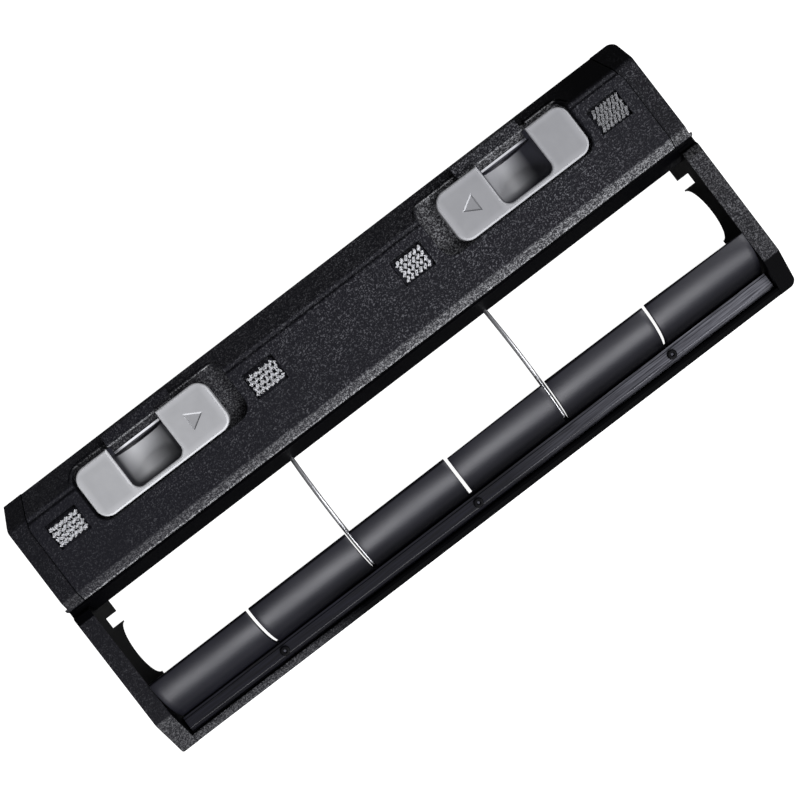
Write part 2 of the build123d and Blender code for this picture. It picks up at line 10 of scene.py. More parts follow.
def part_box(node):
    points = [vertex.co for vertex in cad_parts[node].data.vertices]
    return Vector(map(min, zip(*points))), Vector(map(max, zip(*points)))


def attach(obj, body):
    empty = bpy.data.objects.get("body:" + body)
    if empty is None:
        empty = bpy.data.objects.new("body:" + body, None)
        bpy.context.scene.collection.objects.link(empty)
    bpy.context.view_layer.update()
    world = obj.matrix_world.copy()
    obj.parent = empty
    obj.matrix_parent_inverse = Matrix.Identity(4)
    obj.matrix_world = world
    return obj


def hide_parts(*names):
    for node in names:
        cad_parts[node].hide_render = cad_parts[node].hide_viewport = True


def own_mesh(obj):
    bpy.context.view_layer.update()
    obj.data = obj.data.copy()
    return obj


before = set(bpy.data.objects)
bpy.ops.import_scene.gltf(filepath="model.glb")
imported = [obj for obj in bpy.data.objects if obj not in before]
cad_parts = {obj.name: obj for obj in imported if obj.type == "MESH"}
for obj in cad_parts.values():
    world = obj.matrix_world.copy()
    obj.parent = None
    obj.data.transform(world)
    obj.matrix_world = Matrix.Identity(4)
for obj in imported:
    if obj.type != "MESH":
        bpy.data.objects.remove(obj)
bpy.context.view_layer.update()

MM = 0.001
PANEL_LOW, PANEL_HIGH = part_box("skid_panel")
PLATE_LOW, PLATE_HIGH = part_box("latch_right")
FACE_Z = PANEL_HIGH.z  # floor face of the skid panel

# features of the CAD parts that the finishes follow, given for the +X side
BEVEL_FRONT_Y = PANEL_LOW.y
BEVEL_BACK_Y = 10.0 * MM  # where the bevel along the window meets the floor face
SLOPE_Y = (32.0 * MM, 33.6 * MM)  # where the floor face rounds into the back slope
BLOCK_X, BLOCK_L = 56.7 * MM, 20.8 * MM  # raised block behind a finger bowl, centre and length
BLOCK_Y = (34.8 * MM, 35.0 * MM)  # its front edge
RAIL_FRONT_Y = -29.5 * MM  # where the end walls' rails turn down to the front corners
RAIL_BACK_Y = 5.0 * MM  # where they rise to the bevel
FRONT_BAR_Y = -37.35 * MM  # front of the scraper's channel
BOWL_X = (PLATE_LOW.x + PLATE_HIGH.x) / 2 + 1.6 * MM  # middle of the finger bowl
BOWL_HALF = 8.0 * MM  # half its width along X
BOWL_FRONT_Y = (21.9 * MM, 24.6 * MM)  # the bowl's rounded front end
GROOVE_Y = (32.0 * MM, 32.8 * MM)  # groove across the back of the bowl
ARROW_X, ARROW_Y = (41.5 * MM, 47.0 * MM), (24.4 * MM, 30.6 * MM)  # room for the sunk arrow


# ---------------------------------------------------------------- material helpers
class Shader:
    """A material with its node tree, and short ways to add nodes to it."""

    def __init__(self, name, **settings):
        self.material = bpy.data.materials.new(name)
        self.material.use_nodes = True
        self.tree = self.material.node_tree
        self.surface = self.tree.nodes["Principled BSDF"]
        where = self.add("ShaderNodeTexCoord")
        self.place, self.normal = where.outputs["Object"], where.outputs["Normal"]
        for socket, value in settings.items():
            self.surface.inputs[socket.replace("_", " ")].default_value = value

    def add(self, kind, links=None, **settings):
        """Adds a node. Settings name its attributes, or its inputs by their labels with underscores."""
        node = self.tree.nodes.new(kind)
        for key, value in settings.items():
            if hasattr(node, key):
                setattr(node, key, value)
            else:
                node.inputs[key.replace("_", " ")].default_value = value
        for label, source in (links or {}).items():
            self.tree.links.new(source, node.inputs[label])
        return node

    def feed(self, socket, source):
        """Links a source to a socket of the surface."""
        self.tree.links.new(source, self.surface.inputs[socket])

    def put(self, socket, value):
        """Links a socket, or sets a colour or a number."""
        if isinstance(value, bpy.types.NodeSocket):
            self.tree.links.new(value, socket)
        else:
            socket.default_value = (*value, 1.0) if isinstance(value, tuple) else value

    def axis(self, letter):
        """The place along one of the object's own axes, in metres."""
        return self.add("ShaderNodeSeparateXYZ", {"Vector": self.place}).outputs[letter]

    def facing(self, letter):
        """1 where the surface faces along one of the object's own axes, 0 across it and -1 against it."""
        return self.add("ShaderNodeSeparateXYZ", {"Vector": self.normal}).outputs[letter]

    def noise(self, size, detail=2.0, roughness=0.5, stretch=None):
        """Noise whose grains are about size metres across, 0 to 1."""
        place = self.place
        if stretch:
            place = self.add("ShaderNodeMapping", {"Vector": place}, Scale=stretch).outputs[0]
        node = self.add("ShaderNodeTexNoise", {"Vector": place}, Scale=1.0 / size, Detail=detail)
        node.inputs["Roughness"].default_value = roughness
        return node.outputs[0]

    def levels(self, source, low, high, to_low=0.0, to_high=1.0):
        """Stretches source's values from low..high to to_low..to_high, clamped."""
        node = self.add("ShaderNodeMapRange", {"Value": source})
        for label, value in (("From Min", low), ("From Max", high), ("To Min", to_low), ("To Max", to_high)):
            node.inputs[label].default_value = value
        return node.outputs[0]

    def above(self, source, edge, soft=0.1 * MM):
        """1 where source is past edge, which is softened by soft."""
        return self.levels(source, edge - soft, edge + soft)

    def below(self, source, edge, soft=0.1 * MM):
        """1 where source is short of edge, which is softened by soft."""
        return self.levels(source, edge - soft, edge + soft, 1.0, 0.0)

    def within(self, source, low, high, soft=0.1 * MM):
        """1 where source lies from low to high, with edges softened by soft."""
        return self.product(self.above(source, low, soft), self.below(source, high, soft))

    def math(self, operation, first, second=0.0):
        """One math operation on two sockets or numbers."""
        node = self.add("ShaderNodeMath", operation=operation)
        for index, value in enumerate((first, second)):
            self.put(node.inputs[index], value)
        return node.outputs[0]

    def product(self, first, *others):
        """Sockets or numbers multiplied together."""
        for other in others:
            first = self.math("MULTIPLY", first, other)
        return first

    def most(self, first, *others):
        """The largest of several sockets or numbers."""
        for other in others:
            first = self.math("MAXIMUM", first, other)
        return first

    def outside(self, place):
        """1 where place is 0, and the other way round."""
        return self.math("SUBTRACT", 1.0, place)

    def mix(self, factor, dark, light):
        """Colour from dark to light by factor."""
        node = self.add("ShaderNodeMix", data_type="RGBA")
        self.tree.links.new(factor, node.inputs[0])
        self.put(node.inputs[6], dark)
        self.put(node.inputs[7], light)
        return node.outputs[2]

    def layers(self, colour, *layers):
        """Colour with others laid over it, each given as its place and its own colour."""
        for place, over in layers:
            colour = self.mix(place, colour, over)
        return colour

    def fade(self, factor, low, high):
        """Number from low to high by factor."""
        node = self.add("ShaderNodeMix", data_type="FLOAT")
        self.tree.links.new(factor, node.inputs[0])
        self.put(node.inputs[2], low)
        self.put(node.inputs[3], high)
        return node.outputs[0]

    def bump(self, height, depth, strength=1.0):
        """Raises the surface by up to depth metres where height is 1."""
        node = self.add("ShaderNodeBump", {"Height": height}, Distance=depth)
        self.put(node.inputs["Strength"], strength)
        return node.outputs[0]


def grey(level):
    """A grey that is slightly blue, more so where it is dark."""
    return (level, level * 1.01, level * (1.06 + 0.5 * max(0.0, 1 - level / 0.2)))


# ---------------------------------------------------------------- black plastics
def spark_texture(name, dark, light, smooth_and_shade_places, sheen_places):
    """Black plastic from a spark-eroded mould: grainy; in some places painted near black with dimmed
    reflections, partly for smooth moulding and partly as painted shade; and with painted sheen as pale grain
    in others.
    """
    shader = Shader(name, Specular_IOR_Level=0.14)
    x = shader.axis("X")
    grain = shader.product(shader.noise(0.7 * MM, 3.0, 0.7), shader.noise(0.34 * MM, 1.0, 0.5))
    specks_and_sheen = shader.product(
        shader.levels(grain, 0.26, 0.4),
        shader.levels(shader.noise(5 * MM, 4.0, 0.65), 0.35, 0.65, 0.35, 1.0),
        # painted sheen: the specks grow stronger towards +X, and fade near the +X end as painted shade
        shader.levels(x, -80 * MM, 60 * MM, 0.22, 0.9),
        shader.levels(x, 74 * MM, 86 * MM, 1.0, 0.55),
    )
    smooth_and_shaded = smooth_and_shade_places(shader)
    sheen = sheen_places(shader)
    # painted sheen: pale grain where the sheen places lie
    sheen_grain = shader.product(sheen, shader.levels(grain, 0.2, 0.36, 0.05, 1.2))
    textured = shader.mix(specks_and_sheen, grey(dark), grey(light))
    matt = shader.levels(grain, 0.15, 0.4, 0.6, 0.4)
    dimmed_reflection = shader.product(smooth_and_shaded, shader.outside(sheen))
    relief = shader.levels(smooth_and_shaded, 0.0, 1.0, 1.0, 0.02)
    # painted shade: the smooth and shaded places go near black; painted sheen: pale grain where the sheen
    # places lie
    shader.feed("Base Color", shader.layers(textured, (smooth_and_shaded, grey(0.0008)), (sheen_grain, grey(0.4))))
    shader.feed("Roughness", shader.fade(smooth_and_shaded, matt, 0.5))
    # painted shade: reflections are dimmed in the smooth and shaded places, except under the painted sheen
    shader.feed("Specular Tint", shader.mix(dimmed_reflection, (1.0, 1.0, 1.0), (0.1, 0.1, 0.1)))
    shader.feed("Normal", shader.bump(grain, 0.3 * MM, relief))
    return shader.material


def frame_smooth_and_shade_places(shader):
    """The lip along the window, the inside of the window, and the edges towards the +X end: the lip is
    smooth in part, and all are painted dark with dimmed reflections as painted shade.
    """
    x, y, z = (shader.axis(letter) for letter in "XYZ")
    lip = shader.product(
        shader.within(y, 3.0 * MM, BEVEL_FRONT_Y + 0.2 * MM), shader.within(z, 10 * MM, 20.6 * MM)
    )
    inside = shader.below(z, 12.9 * MM, 0.3 * MM)
    inner_wall = shader.product(
        shader.levels(shader.facing("Z"), 0.5, 0.2), shader.below(y, RAIL_BACK_Y + 0.5 * MM, 0.5 * MM)
    )
    corner = shader.product(
        shader.above(x, 94.8 * MM, 0.2 * MM), shader.below(y, RAIL_FRONT_Y - 0.2 * MM, 0.2 * MM)
    )
    back = shader.product(
        shader.levels(x, 88 * MM, 94 * MM, 0.0, 0.9), shader.above(y, 32.5 * MM, 1.0 * MM)
    )
    front = shader.product(
        shader.levels(x, -58 * MM, -40 * MM), shader.below(y, FRONT_BAR_Y, 0.15 * MM)
    )
    return shader.most(lip, inside, inner_wall, corner, back, front)


def frame_sheen_places(shader):
    """Painted sheen on the end walls' bevels, their rails, the front corner and lip towards -X, and the
    wells' floors.
    """
    x, y, z = (shader.axis(letter) for letter in "XYZ")
    bevel = shader.product(
        shader.within(y, BEVEL_FRONT_Y, BEVEL_BACK_Y + 0.2 * MM, 0.4 * MM),
        shader.levels(x, -95 * MM, 95 * MM, 0.06, 0.34),
    )
    rail = shader.product(
        shader.within(y, RAIL_FRONT_Y, RAIL_BACK_Y, 0.3 * MM),
        shader.levels(x, 90 * MM, 95 * MM, 0.0, 0.11),
    )
    corner = shader.product(
        shader.levels(x, -95 * MM, -94 * MM, 0.14, 0.0),
        shader.below(y, RAIL_FRONT_Y + 0.1 * MM, 0.2 * MM),
    )
    lip = shader.product(
        shader.levels(x, -70 * MM, -45 * MM, 0.15, 0.0), shader.below(y, FRONT_BAR_Y, 0.15 * MM)
    )
    well_floor = shader.product(
        shader.within(y, 19.5 * MM, 36.5 * MM),
        shader.within(shader.math("ABSOLUTE", x), 31 * MM, 80 * MM),
        shader.above(z, 18.9 * MM, 0.3 * MM),
        shader.levels(x, -40 * MM, 40 * MM, 0.12, 0.28),
    )
    faces_up = shader.levels(shader.facing("Z"), 0.3, 0.7)
    return shader.product(shader.most(bevel, rail, corner, lip, well_floor), faces_up)


def raised_blocks(shader):
    """1 on the raised blocks behind the finger bowls."""
    across = shader.math("ABSOLUTE", shader.axis("X"))
    return shader.product(
        shader.within(across, BLOCK_X - BLOCK_L / 2, BLOCK_X + BLOCK_L / 2, 0.05 * MM),
        shader.levels(shader.axis("Y"), *BLOCK_Y),
    )


def panel_smooth_and_shade_places(shader):
    """The slope along the back, painted dark with dimmed reflections as painted shade towards the +X end,
    but not the raised blocks.
    """
    return shader.product(
        shader.levels(shader.axis("Y"), *SLOPE_Y),
        shader.levels(shader.axis("X"), 20 * MM, 85 * MM, 0.0, 0.98),
        shader.outside(raised_blocks(shader)),
    )


def panel_sheen_places(shader):
    """Painted sheen and painted highlights on the bevel along the window, its lower edge, the raised blocks,
    and the rims behind the wells.
    """
    x, y = shader.axis("X"), shader.axis("Y")
    bevel = shader.product(
        shader.within(y, BEVEL_FRONT_Y, BEVEL_BACK_Y, 0.3 * MM),
        shader.levels(x, -95 * MM, 60 * MM, 0.1, 0.45),
    )
    # painted highlight along the bevel's lower edge
    edge = shader.product(
        shader.within(y, BEVEL_FRONT_Y - 1 * MM, BEVEL_FRONT_Y + 0.42 * MM, 0.06 * MM), 0.8
    )
    slope = shader.product(
        shader.levels(y, *SLOPE_Y), shader.levels(x, 30 * MM, 80 * MM, 0.03, 0.0)
    )
    blocks = raised_blocks(shader)
    # painted highlight along the rims behind the wells, stronger towards +X
    well_rim = shader.product(
        shader.within(y, 36.1 * MM, 36.55 * MM, 0.06 * MM),
        shader.within(shader.math("ABSOLUTE", x), 33.5 * MM, 78 * MM, 1.0 * MM),
        shader.outside(blocks),
        shader.levels(x, -60 * MM, 40 * MM, 0.8, 1.6),
    )
    # painted highlight along the blocks' front edges
    block_edge = shader.product(blocks, shader.levels(y, 35.3 * MM, 35.5 * MM, 0.7, 0.0))
    block_top = shader.product(blocks, shader.levels(x, -50 * MM, 50 * MM, 0.03, 0.1))
    return shader.most(bevel, edge, slope, well_rim, block_edge, block_top)


def brushed_plastic(name, dark, light):
    """Black plastic with marks drawn along X, with painted sheen making it paler towards the +X end."""
    shader = Shader(name, Specular_IOR_Level=0.25)
    marks = shader.noise(0.35 * MM, 3.0, 0.6, stretch=(0.03, 1.0, 1.0))
    streak = shader.levels(marks, 0.35, 0.68)
    # painted sheen: paler towards +X
    sheen_towards_plus_x = shader.levels(shader.axis("X"), 10 * MM, 75 * MM)
    pale = shader.mix(sheen_towards_plus_x, grey(light), grey(0.15))
    deep = shader.mix(sheen_towards_plus_x, grey(dark), grey(0.015))
    shader.feed("Base Color", shader.mix(streak, deep, pale))
    shader.feed("Roughness", shader.levels(streak, 0.0, 1.0, 0.42, 0.3))
    shader.feed("Normal", shader.bump(marks, 0.03 * MM))
    return shader.material


def rivet_black(name):
    """Black nylon, with a painted highlight in the dimple at the middle of each head."""
    shader = Shader(name, Specular_IOR_Level=0.1, Roughness=0.6)
    head_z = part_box("retainer_rivets")[1].z
    # painted highlight on the dimple's floor
    dimple = shader.product(
        shader.levels(shader.axis("Z"), head_z - 0.22 * MM, head_z - 0.12 * MM, 0.5, 0.0),
        shader.levels(shader.facing("Z"), 0.9, 0.99),
    )
    nylon = shader.mix(shader.noise(0.6 * MM), grey(0.001), grey(0.003))
    shader.feed("Base Color", shader.mix(dimple, nylon, grey(0.12)))
    return shader.material


# ---------------------------------------------------------------- latch plastic
def plate_tone(shader, mottle, base):
    """The plate's mottled face, with a painted highlight as a paler margin inside its outline and along the
    bowl.
    """
    across = shader.math("ABSOLUTE", shader.axis("X"))
    inset = 1.3 * MM
    soft = 0.9 * MM
    bowl_edge = BOWL_HALF + 0.6 * MM
    middle = shader.product(
        shader.within(shader.axis("Y"), PLATE_LOW.y + inset, PLATE_HIGH.y - 1.1 * MM, soft),
        shader.within(across, PLATE_LOW.x + inset, PLATE_HIGH.x - inset, soft),
        shader.outside(shader.within(across, BOWL_X - bowl_edge, BOWL_X + bowl_edge, 0.7 * MM)),
    )
    face = shader.mix(mottle, grey(base * 0.92), grey(base * 1.06))
    # painted highlight: a paler margin inside the outline and along the bowl
    return shader.mix(shader.outside(middle), face, grey(base * 1.25))


def bowl_tone(shader, base):
    """Painted shade in the bowl: lighter where it faces +X, more so in the latch at +X, and darker towards
    its front; painted shade in its groove and dark behind it, and a painted highlight on the rib.
    """
    x, y, z = (shader.axis(letter) for letter in "XYZ")
    up = shader.facing("Z")
    tilt = shader.product(shader.facing("X"), shader.levels(x, -10 * MM, 10 * MM, 0.15, 0.6))
    open_light = shader.product(
        shader.levels(shader.math("ADD", up, tilt), 0.42, 1.0),
        shader.levels(up, 0.3, 0.5),
        shader.levels(y, *BOWL_FRONT_Y, 0.1, 1.0),
    )
    # painted shade in the groove and in the gap behind it
    groove_shade = shader.within(y, *GROOVE_Y, 0.05 * MM)
    behind_shade = shader.above(y, GROOVE_Y[1] + 0.05 * MM, 0.05 * MM)
    across = shader.math("ABSOLUTE", x)
    # painted highlight on the rib behind the bowl
    rib_highlight = shader.product(
        behind_shade,
        shader.within(z, 19.525 * MM, 19.725 * MM, 0.025 * MM),
        shader.levels(across, BOWL_X + 3.6 * MM, BOWL_X + 6.4 * MM, 1.0, 0.12),
    )
    wall = shader.mix(open_light, grey(base * 0.02), grey(base * 1.35))
    return shader.layers(wall, (groove_shade, grey(base * 0.02)), (behind_shade, grey(base * 0.05)), (rib_highlight, grey(0.85)))


def latch_plastic(name, base):
    """Light grey satin plastic, with painted shade in the finger bowl, a painted highlight along the rims,
    and painted shade that darkens it towards +X.
    """
    shader = Shader(name)
    x, y, z = (shader.axis(letter) for letter in "XYZ")
    across = shader.math("ABSOLUTE", x)
    mottle = shader.noise(3 * MM, 4.0, 0.6)
    in_bowl = shader.product(
        shader.below(z, FACE_Z - 0.7 * MM, 0.2 * MM),
        shader.within(across, BOWL_X - BOWL_HALF, BOWL_X + BOWL_HALF),
    )
    on_arrow = shader.product(
        shader.within(across, *ARROW_X),
        shader.within(y, *ARROW_Y),
        shader.below(z, FACE_Z - 0.04 * MM, 0.02 * MM),
        shader.outside(in_bowl),
    )
    facing_back = shader.facing("Y")  # the arrow is sunk, so its front wall faces back
    # painted shade on the arrow's front wall and a painted highlight on its back wall
    arrow_front_shade = shader.product(on_arrow, shader.levels(facing_back, 0.3, 0.6))
    arrow_back_highlight = shader.product(on_arrow, shader.levels(facing_back, -0.3, -0.6))
    # painted highlight along the plate's rims
    rim_highlight = shader.product(
        shader.levels(shader.facing("Z"), 1.0, 0.85),
        shader.above(z, FACE_Z - 0.75 * MM, 0.15 * MM),
        shader.outside(on_arrow),
    )
    colour = shader.layers(
        plate_tone(shader, mottle, base),
        (in_bowl, bowl_tone(shader, base)),
        (on_arrow, grey(base * 0.8)),
        (arrow_back_highlight, grey(base * 1.8)),
        (arrow_front_shade, grey(base * 0.6)),
        (rim_highlight, grey(base * 1.6)),
        # painted shade: the plates are darker towards +X
        (shader.levels(x, -60 * MM, 60 * MM, 0.06, 0.36), grey(base * 0.12)),
    )
    shader.feed("Base Color", colour)
    shader.feed("Roughness", shader.levels(mottle, 0.3, 0.7, 0.4, 0.5))
    shader.feed("Normal", shader.bump(shader.noise(0.3 * MM, 2.0), 0.006 * MM))
    return shader.material


# ---------------------------------------------------------------- rubber, metal and pile
def satin_rubber(name, level):
    """Smooth rubber with a faint bloom, and painted shade along its root and its free edge."""
    shader = Shader(name, Specular_IOR_Level=0.36)
    bloom = shader.noise(6 * MM, 4.0, 0.6, stretch=(0.5, 1.0, 1.0))
    y = shader.axis("Y")
    # painted shade along the root, weaker towards -X
    root = shader.product(
        shader.levels(y, -31 * MM, -26.5 * MM, 1.0, 0.0),
        shader.levels(shader.axis("X"), -70 * MM, -40 * MM, 0.35, 1.0),
    )
    free_edge_shade = shader.levels(y, -20.45 * MM, -20.2 * MM)
    shaded = shader.most(root, free_edge_shade)
    lit = shader.mix(bloom, grey(level * 0.8), grey(level * 1.2))
    # painted shade: darker colour and dimmed reflections along the root and the free edge
    shader.feed("Base Color", shader.mix(shaded, lit, grey(level * 0.1)))
    shader.feed("Specular Tint", shader.mix(shaded, (1.0, 1.0, 1.05), (0.3, 0.3, 0.36)))
    shader.feed("Roughness", shader.levels(bloom, 0.3, 0.7, 0.34, 0.4))
    shader.feed("Normal", shader.bump(shader.noise(0.4 * MM, 2.0), 0.004 * MM))
    return shader.material


def bright_metal(name, level, roughness):
    """Steel with fine drawn marks."""
    shader = Shader(name, Metallic=1.0)
    marks = shader.noise(0.25 * MM, 3.0, 0.6)
    shader.feed("Base Color", shader.mix(marks, grey(level * 0.85), grey(level)))
    shader.feed("Roughness", shader.levels(marks, 0.3, 0.7, roughness * 0.7, roughness * 1.4))
    shader.feed("Normal", shader.bump(marks, 0.003 * MM))
    return shader.material


def pile_fibre(name, level):
    """White nylon, with painted shade towards its roots, greyer in the last pad, and a little different in
    each fibre.
    """
    shader = Shader(name, Roughness=0.45, Subsurface_Weight=0.15, Subsurface_Radius=(0.3 * MM,) * 3)
    low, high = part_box("pile_pad_1")
    own = shader.add("ShaderNodeNewGeometry").outputs["Random Per Island"]
    from_root = shader.levels(shader.axis("Z"), low.z, high.z)
    # painted shade down towards the roots; the last pad is greyer
    shade = shader.product(
        shader.levels(from_root, 0.35, 0.95), shader.levels(shader.axis("X"), 60 * MM, 80 * MM, 1.0, 0.45)
    )
    tip = shader.mix(own, grey(level * 0.8), grey(level))
    shader.feed("Base Color", shader.mix(shade, grey(0.01), tip))
    return shader.material


def backing_cloth(name):
    """Dark woven tape that the pile stands on."""
    shader = Shader(name, Roughness=0.9)
    weave = shader.add("ShaderNodeTexChecker", {"Vector": shader.place}, Scale=1.0 / (0.25 * MM))
    shader.feed("Base Color", shader.mix(weave.outputs["Fac"], grey(0.01), grey(0.03)))
    shader.feed("Normal", shader.bump(weave.outputs["Fac"], 0.02 * MM))
    return shader.material


# ---------------------------------------------------------------- finishes of the CAD nodes
panel_plastic = spark_texture("textured_black_panel", 0.007, 0.17, panel_smooth_and_shade_places, panel_sheen_places)
frame_plastic = spark_texture("textured_black_frame", 0.005, 0.17, frame_smooth_and_shade_places, frame_sheen_places)
latch_grey = latch_plastic("grey_latch_plastic", 0.40)
keeper_grey = latch_plastic("grey_keeper_plastic", 0.36)
rubber = satin_rubber("black_rubber", 0.009)
retainer_plastic = brushed_plastic("retainer_black", 0.003, 0.014)
rivet_plastic = rivet_black("rivet_black")
wire_steel = bright_metal("polished_wire", 0.8, 0.35)
screw_steel = bright_metal("zinc_plated_steel", 0.5, 0.3)
white_pile = pile_fibre("white_pile", 1.0)
pile_backing = backing_cloth("pile_backing")

FINISHES = {  # by how the nodes' names start
    "frame": frame_plastic,
    "skid_panel": panel_plastic,
    "latch_left": latch_grey,
    "latch_right": latch_grey,
    "latch_keeper": keeper_grey,
    "keeper_screws": screw_steel,
    "panel_screws": screw_steel,
    "guard_wire": wire_steel,
    "scraper_retainer": retainer_plastic,
}
for node_name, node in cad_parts.items():
    for start, finish in FINISHES.items():
        if node_name.startswith(start):
            node.data.materials.clear()
            node.data.materials.append(finish)


# ---------------------------------------------------------------- mesh helpers
class Mesh:
    """Points and faces gathered for one piece."""

    def __init__(self):
        self.points, self.faces = [], []

    def rings(self, rings):
        """Skins a run of rings that have the same number of points, and caps its ends."""
        first, count = len(self.points), len(rings[0])
        for ring in rings:
            self.points.extend(ring)
        for step in range(len(rings) - 1):
            for index in range(count):
                a = first + step * count + index
                b = first + step * count + (index + 1) % count
                self.faces.append((a, b, b + count, a + count))
        last = first + (len(rings) - 1) * count
        self.faces.append(tuple(range(first + count - 1, first - 1, -1)))
        self.faces.append(tuple(range(last, last + count)))

    def piece(self, name, finish, slot, node_name):
        """Makes a smooth piece that rides on the frame in place of a CAD node."""
        mesh = bpy.data.meshes.new(name)
        mesh.from_pydata(self.points, [], self.faces)
        mesh.update()
        mesh.shade_smooth()
        mesh.materials.append(finish)
        piece = bpy.data.objects.new(name, mesh)
        bpy.context.collection.objects.link(piece)
        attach(piece, "frame")
        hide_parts(node_name)
        return piece


def circle(centre, first, second, corners):
    """Points round centre, where first and second are two radii at a right angle."""
    turns = [corner * math.tau / corners for corner in range(corners)]
    return [centre + first * math.cos(turn) + second * math.sin(turn) for turn in turns]


def level_circle(centre, radius, corners):
    """Points round centre at one height."""
    return circle(centre, Vector((radius, 0, 0)), Vector((0, radius, 0)), corners)


def rounded_rectangle(half_x, half_y, corner_r, steps=4):
    """(x, y) points of a rectangle with rounded corners."""
    outline = []
    for quarter, (sx, sy) in enumerate(((1, 1), (-1, 1), (-1, -1), (1, -1))):
        for step in range(steps + 1):
            angle = (quarter + step / steps) * math.tau / 4
            x = sx * (half_x - corner_r) + corner_r * math.cos(angle)
            y = sy * (half_y - corner_r) + corner_r * math.sin(angle)
            outline.append((x, y))
    return outline


# ---------------------------------------------------------------- pile pads
# for each pad: pitch along and across the rows, half a tuft's length along X and Y, and whether the
# tufts slant the other way in every second column, and in every second row
PADS = (
    (0.78 * MM, 1.45 * MM, 0.38 * MM, 0.46 * MM, 1, 0),
    (0.78 * MM, 1.45 * MM, 0.36 * MM, 0.48 * MM, 1, 1),
    (1.35 * MM, 1.55 * MM, 0.42 * MM, 0.56 * MM, 0, 0),
    (1.2 * MM, 2.1 * MM, 0.42 * MM, 1.0 * MM, 0, 0),
)
FIBRE_R = 0.105 * MM
FIBRES_PER_MM2 = 28
TUFT_THICKNESS = 0.36 * MM
TAPE_T = 0.5 * MM


def fibre(mesh, root, lean, height):
    """A thin three-sided fibre that bends over by lean."""
    rings = []
    for share, thickness in ((0.0, 1.0), (0.6, 1.0), (0.95, 0.9), (1.0, 0.55)):
        centre = root + Vector((lean.x * share**2, lean.y * share**2, height * share))
        rings.append(level_circle(centre, FIBRE_R * thickness, 3))
    mesh.rings(rings)


def pile(number, pitch_x, pitch_y, reach_x, reach_y, turn_column, turn_row):
    """Bristles in rows of short slanting tufts."""
    node_name = f"pile_pad_{number}"
    low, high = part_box(node_name)
    base_z = low.z + TAPE_T
    chance = random.Random(number)
    stray = 0.12 * MM
    mesh = Mesh()
    rows, columns = int((high.y - low.y) / pitch_y), int((high.x - low.x) / pitch_x)
    per_tuft = round(FIBRES_PER_MM2 * pitch_x * pitch_y / MM**2)
    for row in range(rows):
        for column in range(columns):
            slant = -1 if (column * turn_column + row * turn_row) % 2 else 1
            place = Vector(((column - (columns - 1) / 2) * pitch_x, (row - (rows - 1) / 2) * pitch_y, 0))
            line = Vector((reach_x, slant * reach_y, 0))
            side = Vector((-line.y, line.x, 0)).normalized() * TUFT_THICKNESS
            for _ in range(per_tuft):
                out = line * chance.uniform(-1, 1) + side * chance.uniform(-1, 1)
                root = (low + high) / 2 + place + out
                root.x = min(max(root.x, low.x + FIBRE_R), high.x - FIBRE_R)
                root.y = min(max(root.y, low.y + FIBRE_R), high.y - FIBRE_R)
                root.z = base_z
                lean = line * 0.3 + Vector((chance.uniform(-stray, stray), chance.uniform(-stray, stray), 0))
                fibre(mesh, root, lean, (high.z - base_z) * chance.uniform(0.86, 1.0))
    mesh.piece(f"pile_{number}", white_pile, "pile", node_name)


def pile_tape(number):
    """The strip of tape that a pad's bristles stand on, with softened edges."""
    node_name = f"pile_pad_{number}"
    low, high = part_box(node_name)
    middle = (low + high) / 2
    outline = rounded_rectangle((high.x - low.x) / 2, (high.y - low.y) / 2, 0.5 * MM)
    rings = []
    for share, height in ((0.97, 0.02 * MM), (1.0, 0.12 * MM), (1.0, TAPE_T - 0.1 * MM), (0.96, TAPE_T)):
        z = low.z + height
        rings.append([Vector((middle.x + x * share, middle.y + y * share, z)) for x, y in outline])
    tape = Mesh()
    tape.rings(rings)
    tape.piece(f"pile_tape_{number}", pile_backing, "pile", node_name)


# ---------------------------------------------------------------- scraper
SCRAPER_T = 1.2 * MM
SCRAPER_ARC_Y, SCRAPER_ARC_Z = -20.1 * MM, 8.2 * MM  # centre of the flaps' arc
SCRAPER_ARC_R = 13.2 * MM - SCRAPER_T / 2
SCRAPER_ARC = (math.radians(89), math.radians(160))  # from the free edge to the root
SCRAPER_FLANGE_YS = (-32.5 * MM, -33.2 * MM, -34.5 * MM, -36.5 * MM)
SLIT_X = 64.2 * MM
NARROW_SLIT, WIDE_SLIT = 0.46 * MM, 0.55 * MM  # half widths, wide where a guard wire runs in the slit
ARC_STEPS, FLAP_STEPS = 30, 20


def scraper_profile(flange_z):
    """(y, z, share) points from the free edge to the flange, where share runs from 0 to 1 at the root."""
    start, end = SCRAPER_ARC
    profile = []
    for step in range(ARC_STEPS + 1):
        share = step / ARC_STEPS
        angle = start + (end - start) * share
        y = SCRAPER_ARC_Y + SCRAPER_ARC_R * math.cos(angle)
        z = SCRAPER_ARC_Z + SCRAPER_ARC_R * math.sin(angle)
        profile.append((y, z, share))
    return profile + [(y, flange_z, 1.0) for y in SCRAPER_FLANGE_YS]


